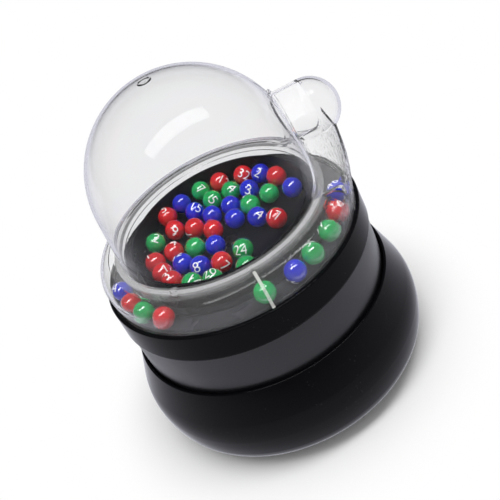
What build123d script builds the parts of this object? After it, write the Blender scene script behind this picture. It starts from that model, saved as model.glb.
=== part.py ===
from build123d import *
from math import cos, hypot, radians, sin, sqrt
import os

# A desktop ball-drawing machine, standing on its feet with +Z up.
# The origin is at the centre of its base. The exit hood points along +X, the front is -Y.
# All sizes are in millimetres. Directions round the machine are degrees from the front (-Y)
# towards the hood (+X).

# Balls
ball_diameter = 9.0
ball_gap = 0.02                   # a ball stops this short of what it lies on
ball_wall_gap = 0.3               # and this short of the drum's wall
edge_match = 0.01                 # an edge this close to a given place is the one meant

# Base
foot_height = 1.4
foot_radius = 5.0
foot_circle_radius = 41.0
foot_bevel = 0.4
bowl_radius = 65.0                # widest radius of the bulging base
bowl_wall = 2.2
bowl_lift = 1.2                   # underside of the bowl above the table
bowl_flat_margin = 3.2            # flat ring of the base outside its bottom plate
bowl_belly_radius = 41.0          # gentle curve below the widest line
bowl_belly_angle = 13.0
bowl_shoulder_radius = 25.0       # curve above the widest line
bowl_shoulder_angle = 20.0
bowl_mouth_height = 43.6
mouth_round = 0.45
mouth_lip = 1.2                   # thickness of the base's rim round its mouth
throat_spare = 1.0                # straight throat below the band when it is pressed
plate_thickness = 2.0
plate_radius = 47.7
plate_clearance = 0.3
ledge_width = 3.7                 # inner ledge of the base that the plate is screwed against
ledge_thickness = 2.0
boss_radius = 4.0
boss_height = 9.0
boss_circle_radius = 43.0
screw_count = 4                   # also the number of feet and of guide tubes

# Sliding guides between the base and the pressed top
press_travel = 3.0
guide_circle_radius = 38.0
guide_pin_radius = 3.1
guide_fit = 0.05
guide_tube_radius = 5.2
guide_tube_top = 26.0
guide_step_height = 36.0
guide_pin_bottom = 12.0
guide_shoulder = 1.0
guide_screw_depth = 8.0
washer_thickness = 0.8
spring_wire_width = 0.8
spring_turns = 5
spring_clearance = 0.5

# Battery bay
cell_radius = 7.2
cell_length = 49.2
cell_cap_radius = 2.7
cell_cap_length = 1.2
cell_pitch = 14.8
cell_count = 3
bay_clearance = 0.6
bay_wall = 1.6
bay_corner_radius = 2.0
cradle_width = 1.6
cradle_depth = 2.5
cradle_inset = 4.0
cell_lift = 1.0                   # cells above the plate
door_thickness = 1.8
door_clearance = 0.3
door_corner_radius = 1.5
contact_thickness = 0.4
contact_size = 12.0
contact_bump_radius = 3.0
grip_pitch = 2.4
grip_count = 5
grip_length = 18.0
grip_depth = 0.5
grip_inset = 8.0

# Start switch
switch_length = 12.8
switch_width = 6.4
switch_height = 7.5
switch_floor = 1.0
switch_corner_radius = 0.6
plunger_radius = 1.4
plunger_fit = 0.05
plunger_spare = 0.4
plunger_show = 0.6
switch_offset = 20.5              # the switch stands this far in front of the axis
switch_post_radius = 2.5

# Pressed top: housing
band_radius = 56.5
band_wall = 2.0
band_bottom = 36.0
band_mouth_gap = 0.6              # running gap to the mouth of the base
chassis_thickness = 2.0
spigot_height = 3.0
spigot_wall = 2.0
part_fit = 0.1

# Pressed top: ring and gallery floor
ring_bottom = 62.9
ring_radius = 57.4
ring_top_radius = 57.0
ring_edge_radius = 1.4
channel_floor = 75.0
channel_floor_thickness = 2.0
ring_lip_height = 1.2
ring_lip_round = 0.6
deck_boss_circle_radius = 48.5
deck_boss_radius = 3.2

# Drum
drum_rim_radius = 38.6
drum_rim_height = 87.7
drum_wall = 1.0
drum_foot_radius = 38.3
drum_floor = 68.0
drum_floor_thickness = 2.0
drum_rim_round = 0.4
drum_knee_height = 78.0
drum_screw_count = 3
drum_pilot_depth = 4.5
drum_boss_circle_radius = 28.0
drum_boss_radius = 3.2
dish_radius = 135.0               # sphere of the turntable's dished top
dish_centre_height = 73.2
turntable_radius = 37.4
turntable_thickness = 1.6
hub_radius = 4.5
hub_gap = 0.3
cap_recess = 0.3
cap_radius = 3.4
cap_height = 1.3
cap_round = 0.8

# Drive
motor_radius = 10.0
motor_flat = 7.6
motor_length = 25.0
motor_nose_radius = 3.0
motor_nose_length = 1.6
motor_clearance = 0.15
motor_cup_wall = 1.6
shaft_radius = 1.0
shaft_fit = 0.05
bush_radius = 3.2
bush_flange_thickness = 1.0
shaft_end = 2.0
shaft_top = 72.4
cup_clearance = 0.8
clamp_thickness = 2.0
clamp_ear_circle_radius = 14.0
clamp_ear_radius = 3.4

# Clear cover
dome_radius = 42.5
dome_wall = 1.2
dome_centre_height = 110.2
dome_draft = 4.6                  # lean of the straight foot
skirt_foot_radius = 44.6          # the dome's skirt, from its flange down to the gallery floor
skirt_top_radius = 43.9
dome_flange_bottom = 88.0
dome_flange_radius = 46.4
dome_flange_thickness = 1.2
pip_radius = 2.9
pip_wire_width = 0.9
exit_hole_radius = 9.6
cover_wall = 1.2
cover_radius = 55.4
cover_foot_width = 1.8
cover_foot_height = 1.4
cover_shoulder_radius = 6.0
cover_roof_drop = 1.0             # fall of the roof from the dome out to the shoulder
glue_gap = 0.02
hood_radius = 12.4
hood_height = 111.6
hood_reach = 64.4                 # tip of the hood from the axis
hood_fillet = 15.5                # sweep of the chute's sides into the gallery roof
chute_radius = 58.9
chute_height = 96.0
chute_narrowing = 2.3             # the chute's neck is this much narrower than the hood, each side
hood_rim_width = 1.6              # flange of the hood and chute, glued against the dome
hood_rim_thickness = 1.2
chute_edge_radius = 2.5           # rounding between the chute's wall and its bell-shaped sides
rib_direction = 4.0
rib_width = 1.2
rib_proud = 0.8
lug_direction = -34.0
lug_radius = 1.6
lug_height = 1.4

# Screws
screw_head_radius = 2.4
screw_head_height = 1.2
screw_slot_length = 3.0
screw_slot_width = 0.7
screw_shank_radius = 1.2
screw_hole_radius = 1.6
pilot_radius = 1.25
pilot_depth = 7.0
pilot_spare = 0.6                 # free length beyond a screw's tip

# Worked out from the sizes above
ball_radius = ball_diameter / 2
plate_bottom = foot_height
plate_top = plate_bottom + plate_thickness
bowl_flat_radius = plate_radius + bowl_flat_margin
bowl_belly_bulge = bowl_belly_radius * (1 - cos(radians(bowl_belly_angle)))
bowl_corner_radius = (bowl_radius - bowl_belly_bulge - bowl_flat_radius) / sin(radians(90 - bowl_belly_angle))
throat_depth = bowl_mouth_height - band_bottom + press_travel + throat_spare
mouth_radius = band_radius + band_mouth_gap
band_inner_radius = band_radius - band_wall
spigot_radius = band_inner_radius - part_fit
bay_length = cell_length + cell_cap_length + 2 * (contact_thickness + bay_clearance)
bay_width = (cell_count - 1) * cell_pitch + 2 * cell_radius + 2 * bay_clearance
bay_top = plate_top + cell_lift + 2 * cell_radius + bay_clearance
cell_height = plate_top + cell_lift + cell_radius
switch_bottom = bay_top + bay_wall
switch_top = switch_bottom + switch_height
plunger_top = switch_top + plunger_show + press_travel
chassis_top = ring_bottom
chassis_bottom = chassis_top - chassis_thickness
channel_centre = (skirt_foot_radius + cover_radius - cover_wall) / 2
motor_cup_radius = motor_radius + motor_clearance + motor_cup_wall
guide_angle = 180 / screw_count / 2
hood_centre = hood_reach - hood_radius
chute_half_width = hood_radius - chute_narrowing


def toward(direction, distance):
    """Place on the ground plan, this far from the axis in this direction."""
    return distance * sin(radians(direction)), -distance * cos(radians(direction))


def dish_height(distance):
    """Height of the turntable's dished top at a distance from the axis."""
    return dish_centre_height + dish_radius - sqrt(dish_radius**2 - distance**2)


def rings(piece, radius, height):
    """Circular edges of a piece at this radius and height."""
    circles = piece.edges().filter_by(GeomType.CIRCLE)
    return circles.filter_by(lambda edge: hypot(edge.radius - radius, edge.center().Z - height) < edge_match)


def keep(piece, name, shade):
    """Label a finished piece and write it."""
    piece.part.label = name
    piece.part.color = Color(*shade)
    export_step(piece.part, f"parts/{name}.step")


os.makedirs("parts", exist_ok=True)
black = (0.05, 0.05, 0.06)
clear = (0.8, 0.85, 0.9)
steel = (0.7, 0.7, 0.72)
red = (0.7, 0.1, 0.1)
green = (0.1, 0.55, 0.3)
blue = (0.1, 0.1, 0.6)


# ---------------------------------------------------------------- base

# Lower bowl: one thin bulging shell, open at the bottom for the plate and at the top for the band.
def bowl_outline(inset):
    """One side of the bulge, from the bottom flat up to the mouth, moved in by a wall."""
    start = (bowl_flat_radius, bowl_lift + inset)
    corner = JernArc(start, (1, 0), bowl_corner_radius - inset, 90 - bowl_belly_angle)
    belly = JernArc(corner @ 1, corner % 1, bowl_belly_radius - inset, bowl_belly_angle)
    shoulder = JernArc(belly @ 1, belly % 1, bowl_shoulder_radius - inset, bowl_shoulder_angle)
    side = Line(shoulder @ 1, (mouth_radius + mouth_lip - inset, bowl_mouth_height))
    return start, side @ 1


plate_opening = plate_radius + plate_clearance
with BuildPart() as lower_bowl:
    with BuildSketch(Plane.XZ) as wall_section:
        with BuildLine():
            outer_start, outer_end = bowl_outline(0)
            inner_start, inner_end = bowl_outline(bowl_wall)
            Line(outer_start, (plate_opening, bowl_lift))
            Line((plate_opening, bowl_lift), (plate_opening, bowl_lift + bowl_wall))
            Line((plate_opening, bowl_lift + bowl_wall), inner_start)
            Line(inner_end, outer_end)
        make_face()
    revolve(axis=Axis.Z)
    # Straight throat at the mouth, a running gap away from the band
    with BuildSketch(Plane.XY.offset(bowl_mouth_height)):
        Circle(mouth_radius)
    extrude(amount=-throat_depth, mode=Mode.SUBTRACT)
    # Ledge inside the bottom opening, which the plate is screwed up against
    with BuildSketch(Plane.XY.offset(plate_top)):
        Circle(bowl_flat_radius + bowl_wall)
        Circle(plate_radius - ledge_width, mode=Mode.SUBTRACT)
    extrude(amount=ledge_thickness)
    with BuildSketch(Plane.XY.offset(plate_top)):
        with PolarLocations(boss_circle_radius, screw_count):
            Circle(boss_radius)
    extrude(amount=boss_height)
    with BuildSketch(Plane.XY.offset(plate_top)):
        with PolarLocations(boss_circle_radius, screw_count):
            Circle(pilot_radius)
    extrude(amount=pilot_depth, mode=Mode.SUBTRACT)
    fillet(lower_bowl.edges().filter_by(GeomType.CIRCLE).group_by(Axis.Z)[-1], radius=mouth_round)
keep(lower_bowl, "lower_bowl", black)

# Base plate: closes the bottom, with four guide tubes and the battery door's opening.
door_length = bay_length - 2 * door_clearance
door_width = bay_width - 2 * door_clearance
with BuildPart() as base_plate:
    with BuildSketch(Plane.XY.offset(plate_bottom)):
        Circle(plate_radius)
        Rectangle(bay_length, bay_width, mode=Mode.SUBTRACT)
    extrude(amount=plate_thickness)
    with BuildSketch(Plane.XY.offset(plate_bottom)):
        with PolarLocations(guide_circle_radius, screw_count, start_angle=guide_angle):
            Circle(guide_tube_radius)
    extrude(amount=guide_tube_top - plate_bottom)
    with BuildSketch(Plane.XY.offset(plate_bottom)):
        with PolarLocations(guide_circle_radius, screw_count, start_angle=guide_angle):
            Circle(guide_pin_radius + guide_fit)
    extrude(amount=guide_tube_top - plate_bottom, mode=Mode.SUBTRACT)
    with BuildSketch(Plane.XY.offset(plate_bottom)):
        with PolarLocations(guide_circle_radius, screw_count, start_angle=guide_angle):
            Circle(guide_tube_radius - guide_shoulder)
    extrude(amount=guide_pin_bottom - plate_bottom, mode=Mode.SUBTRACT)
    with BuildSketch(Plane.XY.offset(plate_bottom)):
        with PolarLocations(boss_circle_radius, screw_count):
            Circle(screw_hole_radius)
    extrude(amount=plate_thickness, mode=Mode.SUBTRACT)
keep(base_plate, "base_plate", black)

# Feet: four rubber pads under the plate, half way between the screws.
with BuildPart() as base_feet:
    with BuildSketch():
        with PolarLocations(foot_circle_radius, screw_count, start_angle=180 / screw_count):
            Circle(foot_radius)
    extrude(amount=foot_height)
    chamfer(base_feet.faces().group_by(Axis.Z)[0].edges(), length=foot_bevel)
keep(base_feet, "base_feet", (0.1, 0.1, 0.1))


def screw(seat, length):
    """A cross-head screw, head down, whose head bears up against this height."""
    from_below = (Align.CENTER, Align.CENTER, Align.MAX)
    from_above = (Align.CENTER, Align.CENTER, Align.MIN)
    head = Pos(0, 0, seat) * Cylinder(screw_head_radius, screw_head_height, align=from_below)
    shank = Pos(0, 0, seat) * Cylinder(screw_shank_radius, length, align=from_above)
    slot = Box(screw_slot_length, screw_slot_width, screw_head_height)
    cross = Pos(0, 0, seat - screw_head_height) * (slot + Rot(0, 0, 90) * slot)
    return head + shank - cross


# Base screws: heads on the plate's underside, shanks up into the bowl's bosses.
base_screw = screw(plate_bottom, plate_thickness + pilot_depth - pilot_spare)
with BuildPart() as base_screws:
    with PolarLocations(boss_circle_radius, screw_count):
        add(base_screw)
keep(base_screws, "base_screws", steel)

# Battery box: an open-bottomed box on the plate, round the door's opening.
with BuildPart() as battery_box:
    with BuildSketch(Plane.XY.offset(plate_top)):
        Rectangle(bay_length + 2 * bay_wall, bay_width + 2 * bay_wall)
    extrude(amount=bay_top + bay_wall - plate_top)
    fillet(battery_box.edges().filter_by(Axis.Z), radius=bay_corner_radius)
    with BuildSketch(Plane.XY.offset(plate_top)):
        Rectangle(bay_length, bay_width)
    extrude(amount=bay_top - plate_top, mode=Mode.SUBTRACT)
    # Low cradles between the cells
    with BuildSketch(Plane.XY.offset(bay_top)):
        with GridLocations(0, cell_pitch, 1, cell_count - 1):
            Rectangle(bay_length - 2 * cradle_inset, cradle_width)
    extrude(amount=-cradle_depth)
keep(battery_box, "battery_box", black)

# Three AA cells side by side, every second one turned round.
with BuildPart() as batteries:
    for index in range(cell_count):
        side = 1 if index % 2 == 0 else -1
        y = (index - (cell_count - 1) / 2) * cell_pitch
        back = -side * (cell_length + cell_cap_length) / 2
        with BuildSketch(Plane(origin=(back, y, cell_height), z_dir=(side, 0, 0))):
            Circle(cell_radius)
        extrude(amount=cell_length)
        with BuildSketch(Plane(origin=(back + side * cell_length, y, cell_height), z_dir=(side, 0, 0))):
            Circle(cell_cap_radius)
        extrude(amount=cell_cap_length)
keep(batteries, "batteries", (0.8, 0.6, 0.2))

# Contacts: one sprung plate with a raised bump at each end of each cell.
bay_end = bay_length / 2
with BuildPart() as battery_contacts:
    for side in (-1, 1):
        for index in range(cell_count):
            y = (index - (cell_count - 1) / 2) * cell_pitch
            with BuildSketch(Plane(origin=(side * bay_end, y, cell_height), z_dir=(-side, 0, 0))):
                Rectangle(contact_size, contact_size)
            extrude(amount=contact_thickness)
            with BuildSketch(Plane(origin=(side * bay_end, y, cell_height), z_dir=(-side, 0, 0))):
                Circle(contact_bump_radius)
            extrude(amount=contact_thickness + bay_clearance)
keep(battery_contacts, "battery_contacts", steel)

# Battery door: a flat lid in the plate's opening, with grip ridges outside.
with BuildPart() as battery_door:
    with BuildSketch(Plane.XY.offset(plate_bottom)):
        RectangleRounded(door_length, door_width, door_corner_radius)
    extrude(amount=door_thickness)
    with BuildSketch(Plane.XY.offset(plate_bottom)):
        with Locations((-door_length / 2 + grip_inset, 0)):
            with GridLocations(grip_pitch, 0, grip_count, 1):
                Rectangle(grip_pitch / 2, grip_length)
    extrude(amount=grip_depth, mode=Mode.SUBTRACT)
keep(battery_door, "battery_door", black)

# Start switch: a small push switch on top of the battery box, with a long-travel plunger.
with BuildPart() as start_switch:
    with BuildSketch(Plane.XY.offset(switch_bottom)):
        with Locations((0, -switch_offset)):
            RectangleRounded(switch_length, switch_width, switch_corner_radius)
    extrude(amount=switch_height)
    with BuildSketch(Plane.XY.offset(switch_bottom + switch_floor)):
        with Locations((0, -switch_offset)):
            Circle(plunger_radius + plunger_fit)
    extrude(amount=switch_height - switch_floor, mode=Mode.SUBTRACT)
keep(start_switch, "start_switch", (0.15, 0.15, 0.15))

plunger_bottom = switch_bottom + switch_floor + plunger_spare + press_travel
with BuildPart() as switch_plunger:
    with BuildSketch(Plane.XY.offset(plunger_bottom)):
        with Locations((0, -switch_offset)):
            Circle(plunger_radius)
    extrude(amount=plunger_top - plunger_bottom)
keep(switch_plunger, "switch_plunger", (0.8, 0.8, 0.8))

# Return springs: one round each guide pin, between the tube's top and the pin's step.
spring_radius = guide_pin_radius + spring_clearance + spring_wire_width / 2
spring_rise = guide_step_height - guide_tube_top - spring_wire_width
with BuildPart() as one_spring:
    with BuildLine():
        coil = Helix(spring_rise / spring_turns, spring_rise, spring_radius,
                     center=(0, 0, guide_tube_top + spring_wire_width / 2))
    with BuildSketch(Plane(origin=coil @ 0, z_dir=coil % 0)):
        Circle(spring_wire_width / 2)
    sweep(is_frenet=True)
with BuildPart() as return_springs:
    with PolarLocations(guide_circle_radius, screw_count, start_angle=guide_angle):
        add(one_spring.part)
keep(return_springs, "return_springs", steel)


# ---------------------------------------------------------------- pressed top

# Housing: the band that slides into the base, its chassis floor, and the stepped guide posts.
with BuildPart() as press_housing:
    with BuildSketch(Plane.XY.offset(band_bottom)):
        Circle(band_radius)
        Circle(band_inner_radius, mode=Mode.SUBTRACT)
    extrude(amount=chassis_top - band_bottom)
    with BuildSketch(Plane.XY.offset(chassis_bottom)):
        Circle(band_inner_radius)
    extrude(amount=chassis_thickness)
    with BuildSketch(Plane.XY.offset(chassis_top)):
        Circle(spigot_radius)
        Circle(spigot_radius - spigot_wall, mode=Mode.SUBTRACT)
    extrude(amount=spigot_height)
    with BuildSketch(Plane.XY.offset(guide_step_height)):
        with PolarLocations(guide_circle_radius, screw_count, start_angle=guide_angle):
            Circle(guide_tube_radius)
    extrude(amount=chassis_bottom - guide_step_height)
    with BuildSketch(Plane.XY.offset(guide_pin_bottom)):
        with PolarLocations(guide_circle_radius, screw_count, start_angle=guide_angle):
            Circle(guide_pin_radius)
    extrude(amount=guide_step_height - guide_pin_bottom)
    with BuildSketch(Plane.XY.offset(guide_pin_bottom)):
        with PolarLocations(guide_circle_radius, screw_count, start_angle=guide_angle):
            Circle(pilot_radius)
    extrude(amount=guide_screw_depth + pilot_spare, mode=Mode.SUBTRACT)
    # Post that presses the start switch
    with BuildSketch(Plane.XY.offset(plunger_top)):
        with Locations((0, -switch_offset)):
            Circle(switch_post_radius)
    extrude(amount=chassis_bottom - plunger_top)
    # Opening for the motor's cup and its two ears
    with BuildSketch(Plane.XY.offset(chassis_bottom)):
        Circle(motor_cup_radius + cup_clearance)
        with PolarLocations(clamp_ear_circle_radius, 2):
            Circle(clamp_ear_radius + cup_clearance)
    extrude(amount=chassis_thickness, mode=Mode.SUBTRACT)
    with BuildSketch(Plane.XY.offset(chassis_bottom)):
        with PolarLocations(deck_boss_circle_radius, screw_count):
            Circle(screw_hole_radius)
        with PolarLocations(drum_boss_circle_radius, drum_screw_count):
            Circle(screw_hole_radius)
    extrude(amount=chassis_thickness, mode=Mode.SUBTRACT)
keep(press_housing, "press_housing", black)

# Guide screws and washers: they stop the top from coming out of the base.
with BuildPart() as guide_washers:
    with BuildSketch(Plane.XY.offset(guide_pin_bottom - washer_thickness)):
        with PolarLocations(guide_circle_radius, screw_count, start_angle=guide_angle):
            Circle(guide_tube_radius - guide_shoulder - part_fit)
            Circle(screw_hole_radius, mode=Mode.SUBTRACT)
    extrude(amount=washer_thickness)
keep(guide_washers, "guide_washers", steel)

guide_screw = screw(guide_pin_bottom - washer_thickness, washer_thickness + guide_screw_depth)
with BuildPart() as guide_screws:
    with PolarLocations(guide_circle_radius, screw_count, start_angle=guide_angle):
        add(guide_screw)
keep(guide_screws, "guide_screws", steel)

# Gallery deck: the glossy ring and the floor that the drawn balls roll on, with a hole for the drum.
drum_outer_radius = drum_rim_radius + drum_wall
deck_bore = drum_outer_radius + part_fit
lip_radius = cover_radius + part_fit
lip_height = channel_floor + ring_lip_height
with BuildPart() as gallery_deck:
    with BuildSketch(Plane.XZ):
        with BuildLine():
            Polyline(
                (band_inner_radius, ring_bottom), (ring_radius, ring_bottom), (ring_top_radius, lip_height),
                (lip_radius, lip_height), (lip_radius, channel_floor), (deck_bore, channel_floor),
                (deck_bore, channel_floor - channel_floor_thickness),
                (band_inner_radius, channel_floor - channel_floor_thickness), close=True)
        make_face()
    revolve(axis=Axis.Z)
    fillet(rings(gallery_deck, ring_radius, ring_bottom), radius=ring_edge_radius)
    fillet(rings(gallery_deck, ring_top_radius, lip_height), radius=ring_lip_round)
    with BuildSketch(Plane.XY.offset(chassis_top)):
        with PolarLocations(deck_boss_circle_radius, screw_count):
            Circle(deck_boss_radius)
    extrude(amount=channel_floor - channel_floor_thickness - chassis_top)
    with BuildSketch(Plane.XY.offset(chassis_top)):
        with PolarLocations(deck_boss_circle_radius, screw_count):
            Circle(pilot_radius)
    extrude(amount=pilot_depth, mode=Mode.SUBTRACT)
keep(gallery_deck, "gallery_deck", black)

deck_screw = screw(chassis_bottom, chassis_thickness + pilot_depth - pilot_spare)
with BuildPart() as deck_screws:
    with PolarLocations(deck_boss_circle_radius, screw_count):
        add(deck_screw)
keep(deck_screws, "deck_screws", steel)

# Drum bowl: a thin black wall with a rim, a floor, three bosses and the motor's cup below.
drum_underside = drum_floor - drum_floor_thickness
motor_top = drum_underside
motor_bottom = motor_top - motor_length
with BuildPart() as drum_bowl:
    with BuildSketch(Plane.XZ):
        with BuildLine():
            Polyline(
                (bush_radius, drum_underside), (drum_outer_radius, drum_underside),
                (drum_outer_radius, drum_rim_height), (drum_rim_radius, drum_rim_height),
                (drum_foot_radius, drum_knee_height), (drum_foot_radius, drum_floor),
                (bush_radius, drum_floor), close=True)
        make_face()
    revolve(axis=Axis.Z)
    fillet(rings(drum_bowl, drum_rim_radius, drum_rim_height), radius=drum_rim_round)
    fillet(rings(drum_bowl, drum_outer_radius, drum_rim_height), radius=drum_rim_round)
    with BuildSketch(Plane.XY.offset(chassis_top)):
        with PolarLocations(drum_boss_circle_radius, drum_screw_count):
            Circle(drum_boss_radius)
    extrude(amount=drum_underside - chassis_top)
    with BuildSketch(Plane.XY.offset(chassis_top)):
        with PolarLocations(drum_boss_circle_radius, drum_screw_count):
            Circle(pilot_radius)
    extrude(amount=drum_pilot_depth, mode=Mode.SUBTRACT)
    # Cup round the motor, with an ear on each side for its clamp
    with BuildSketch(Plane.XY.offset(motor_bottom)):
        Circle(motor_cup_radius)
        with PolarLocations(clamp_ear_circle_radius, 2):
            Circle(clamp_ear_radius)
    extrude(amount=motor_length)
    with BuildSketch(Plane.XY.offset(motor_bottom)):
        with BuildSketch(mode=Mode.PRIVATE) as flat_slot:
            Rectangle(4 * motor_radius, 2 * (motor_flat + motor_clearance))
        Circle(motor_radius + motor_clearance)
        add(flat_slot.sketch, mode=Mode.INTERSECT)
    extrude(amount=motor_length, mode=Mode.SUBTRACT)
    with BuildSketch(Plane.XY.offset(motor_bottom)):
        with PolarLocations(clamp_ear_circle_radius, 2):
            Circle(pilot_radius)
    extrude(amount=pilot_depth, mode=Mode.SUBTRACT)
keep(drum_bowl, "drum_bowl", black)

drum_screw = screw(chassis_bottom, chassis_thickness + drum_pilot_depth - pilot_spare)
with BuildPart() as drum_screws:
    with PolarLocations(drum_boss_circle_radius, drum_screw_count):
        add(drum_screw)
keep(drum_screws, "drum_screws", steel)

# Motor: a flat-sided can with a round nose, bored for its shaft.
with BuildPart() as motor:
    with BuildSketch(Plane.XY.offset(motor_bottom)):
        with BuildSketch(mode=Mode.PRIVATE) as flat_can:
            Rectangle(4 * motor_radius, 2 * motor_flat)
        Circle(motor_radius)
        add(flat_can.sketch, mode=Mode.INTERSECT)
    extrude(amount=motor_length)
    with BuildSketch(Plane.XY.offset(motor_top)):
        Circle(motor_nose_radius)
    extrude(amount=motor_nose_length)
    with BuildSketch(Plane.XY.offset(motor_bottom + shaft_end)):
        Circle(shaft_radius + shaft_fit)
    extrude(amount=motor_length + motor_nose_length - shaft_end, mode=Mode.SUBTRACT)
keep(motor, "motor", steel)

# Motor clamp: a plate under the can, held by two screws in the cup's ears.
with BuildPart() as motor_clamp:
    with BuildSketch(Plane.XY.offset(motor_bottom - clamp_thickness)):
        Circle(motor_cup_radius)
        with PolarLocations(clamp_ear_circle_radius, 2):
            Circle(clamp_ear_radius)
        with PolarLocations(clamp_ear_circle_radius, 2):
            Circle(screw_hole_radius, mode=Mode.SUBTRACT)
        Circle(motor_nose_radius, mode=Mode.SUBTRACT)
    extrude(amount=clamp_thickness)
keep(motor_clamp, "motor_clamp", black)

motor_screw = screw(motor_bottom - clamp_thickness, clamp_thickness + pilot_depth - pilot_spare)
with BuildPart() as motor_screws:
    with PolarLocations(clamp_ear_circle_radius, 2):
        add(motor_screw)
keep(motor_screws, "motor_screws", steel)

# Bush: a flanged brass bearing in the drum's floor.
bush_bottom = motor_top + motor_nose_length + part_fit
bush_top = drum_floor + bush_flange_thickness
with BuildPart() as shaft_bush:
    with BuildSketch(Plane.XY.offset(bush_bottom)):
        Circle(bush_radius)
    extrude(amount=drum_floor - bush_bottom)
    with BuildSketch(Plane.XY.offset(drum_floor)):
        Circle(bush_radius + bush_flange_thickness)
    extrude(amount=bush_flange_thickness)
    with BuildSketch(Plane.XY.offset(bush_bottom)):
        Circle(shaft_radius + shaft_fit)
    extrude(amount=bush_top - bush_bottom, mode=Mode.SUBTRACT)
keep(shaft_bush, "shaft_bush", (0.75, 0.6, 0.25))


# ---------------------------------------------------------------- turning drum floor

# Turntable: a dished disc on a hub, with a flat recess for its cap.
hub_bottom = bush_top + hub_gap
recess_floor = dish_centre_height - cap_recess
with BuildPart() as turntable:
    with BuildSketch(Plane.XZ):
        with BuildLine():
            edge_top = dish_height(turntable_radius)
            dish = RadiusArc((0, dish_centre_height), (turntable_radius, edge_top), -dish_radius)
            Polyline((turntable_radius, edge_top), (turntable_radius, edge_top - turntable_thickness),
                     (hub_radius, dish_centre_height - turntable_thickness), (hub_radius, hub_bottom),
                     (0, hub_bottom), (0, dish_centre_height))
        make_face()
    revolve(axis=Axis.Z)
    with BuildSketch(Plane.XY.offset(recess_floor)):
        Circle(cap_radius + part_fit)
    extrude(amount=2 * cap_recess, mode=Mode.SUBTRACT)
    with BuildSketch(Plane.XY.offset(hub_bottom)):
        Circle(shaft_radius)
    extrude(amount=shaft_top - hub_bottom, mode=Mode.SUBTRACT)
keep(turntable, "turntable", black)

with BuildPart() as motor_shaft:
    with BuildSketch(Plane.XY.offset(motor_bottom + shaft_end + part_fit)):
        Circle(shaft_radius)
    extrude(amount=shaft_top - motor_bottom - shaft_end - part_fit)
keep(motor_shaft, "motor_shaft", steel)

# Hub cap: a low rounded button over the shaft.
with BuildPart() as hub_cap:
    with BuildSketch(Plane.XY.offset(recess_floor)):
        Circle(cap_radius)
    extrude(amount=cap_height)
    fillet(hub_cap.faces().group_by(Axis.Z)[-1].edges(), radius=cap_round)
keep(hub_cap, "hub_cap", black)


# ---------------------------------------------------------------- clear cover

def dome_outline(inset):
    """Half section of the dome from its top to its flange, moved in by a wall."""
    crown = JernArc((0, dome_centre_height + dome_radius - inset), (1, 0), dome_radius - inset,
                    -(90 - dome_draft))
    fall = (crown @ 1).Y - dome_flange_bottom
    side = Line(crown @ 1, (crown @ 1) + (crown % 1) * (fall / -(crown % 1).Y))
    return crown @ 0, side @ 1


def dome_space(inset):
    """Solid of everything inside the dome's outline and its skirt."""
    skirt_bottom = channel_floor + glue_gap
    with BuildPart() as space:
        with BuildSketch(Plane.XZ):
            with BuildLine():
                top, foot = dome_outline(inset)
                Polyline(foot, (skirt_top_radius - inset, dome_flange_bottom),
                         (skirt_foot_radius - inset, skirt_bottom), (0, skirt_bottom), top)
            make_face()
        revolve(axis=Axis.Z)
    return space.part


hood_axis = Plane(origin=(0, 0, hood_height), z_dir=(1, 0, 0))
dome_solid = dome_space(0)
dome_hollow = dome_space(dome_wall)
with BuildPart() as dome:
    add(dome_solid)
    with BuildSketch(Plane.XY.offset(dome_flange_bottom)):
        Circle(dome_flange_radius)
    extrude(amount=dome_flange_thickness)
    add(dome_hollow, mode=Mode.SUBTRACT)
    with BuildSketch(hood_axis):
        Circle(exit_hole_radius)
    extrude(amount=2 * dome_radius, mode=Mode.SUBTRACT)
    # Moulded ring round the pole
    with BuildSketch(Plane.XZ):
        with Locations((pip_radius - pip_wire_width / 2, dome_centre_height + dome_radius)):
            Circle(pip_wire_width / 2)
    revolve(axis=Axis.Z)
keep(dome, "dome", clear)


# Gallery cover
roof_top = dome_flange_bottom + dome_flange_thickness + cover_wall
roof_inner_radius = dome_flange_radius + 2 * part_fit
shoulder_height = roof_top - cover_roof_drop - cover_shoulder_radius
shoulder_centre = cover_radius - cover_shoulder_radius
helper_radius = deck_bore         # helper solids start inside the dome's skirt and are cut away there


def gallery_ring(inset, bottom):
    """Solid of the ring-shaped gallery inside its outer skin, moved in by a wall."""
    skin = cover_radius - inset
    round_radius = cover_shoulder_radius - inset
    with BuildPart() as ring:
        with BuildSketch(Plane.XZ):
            with BuildLine():
                side = Line((skin, bottom), (skin, shoulder_height))
                arch = JernArc(side @ 1, (0, 1), round_radius, 90)
                Polyline(arch @ 1, (roof_inner_radius, roof_top - inset), (helper_radius, roof_top - inset),
                         (helper_radius, bottom), side @ 0)
            make_face()
        revolve(axis=Axis.Z)
    return ring.part


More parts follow.
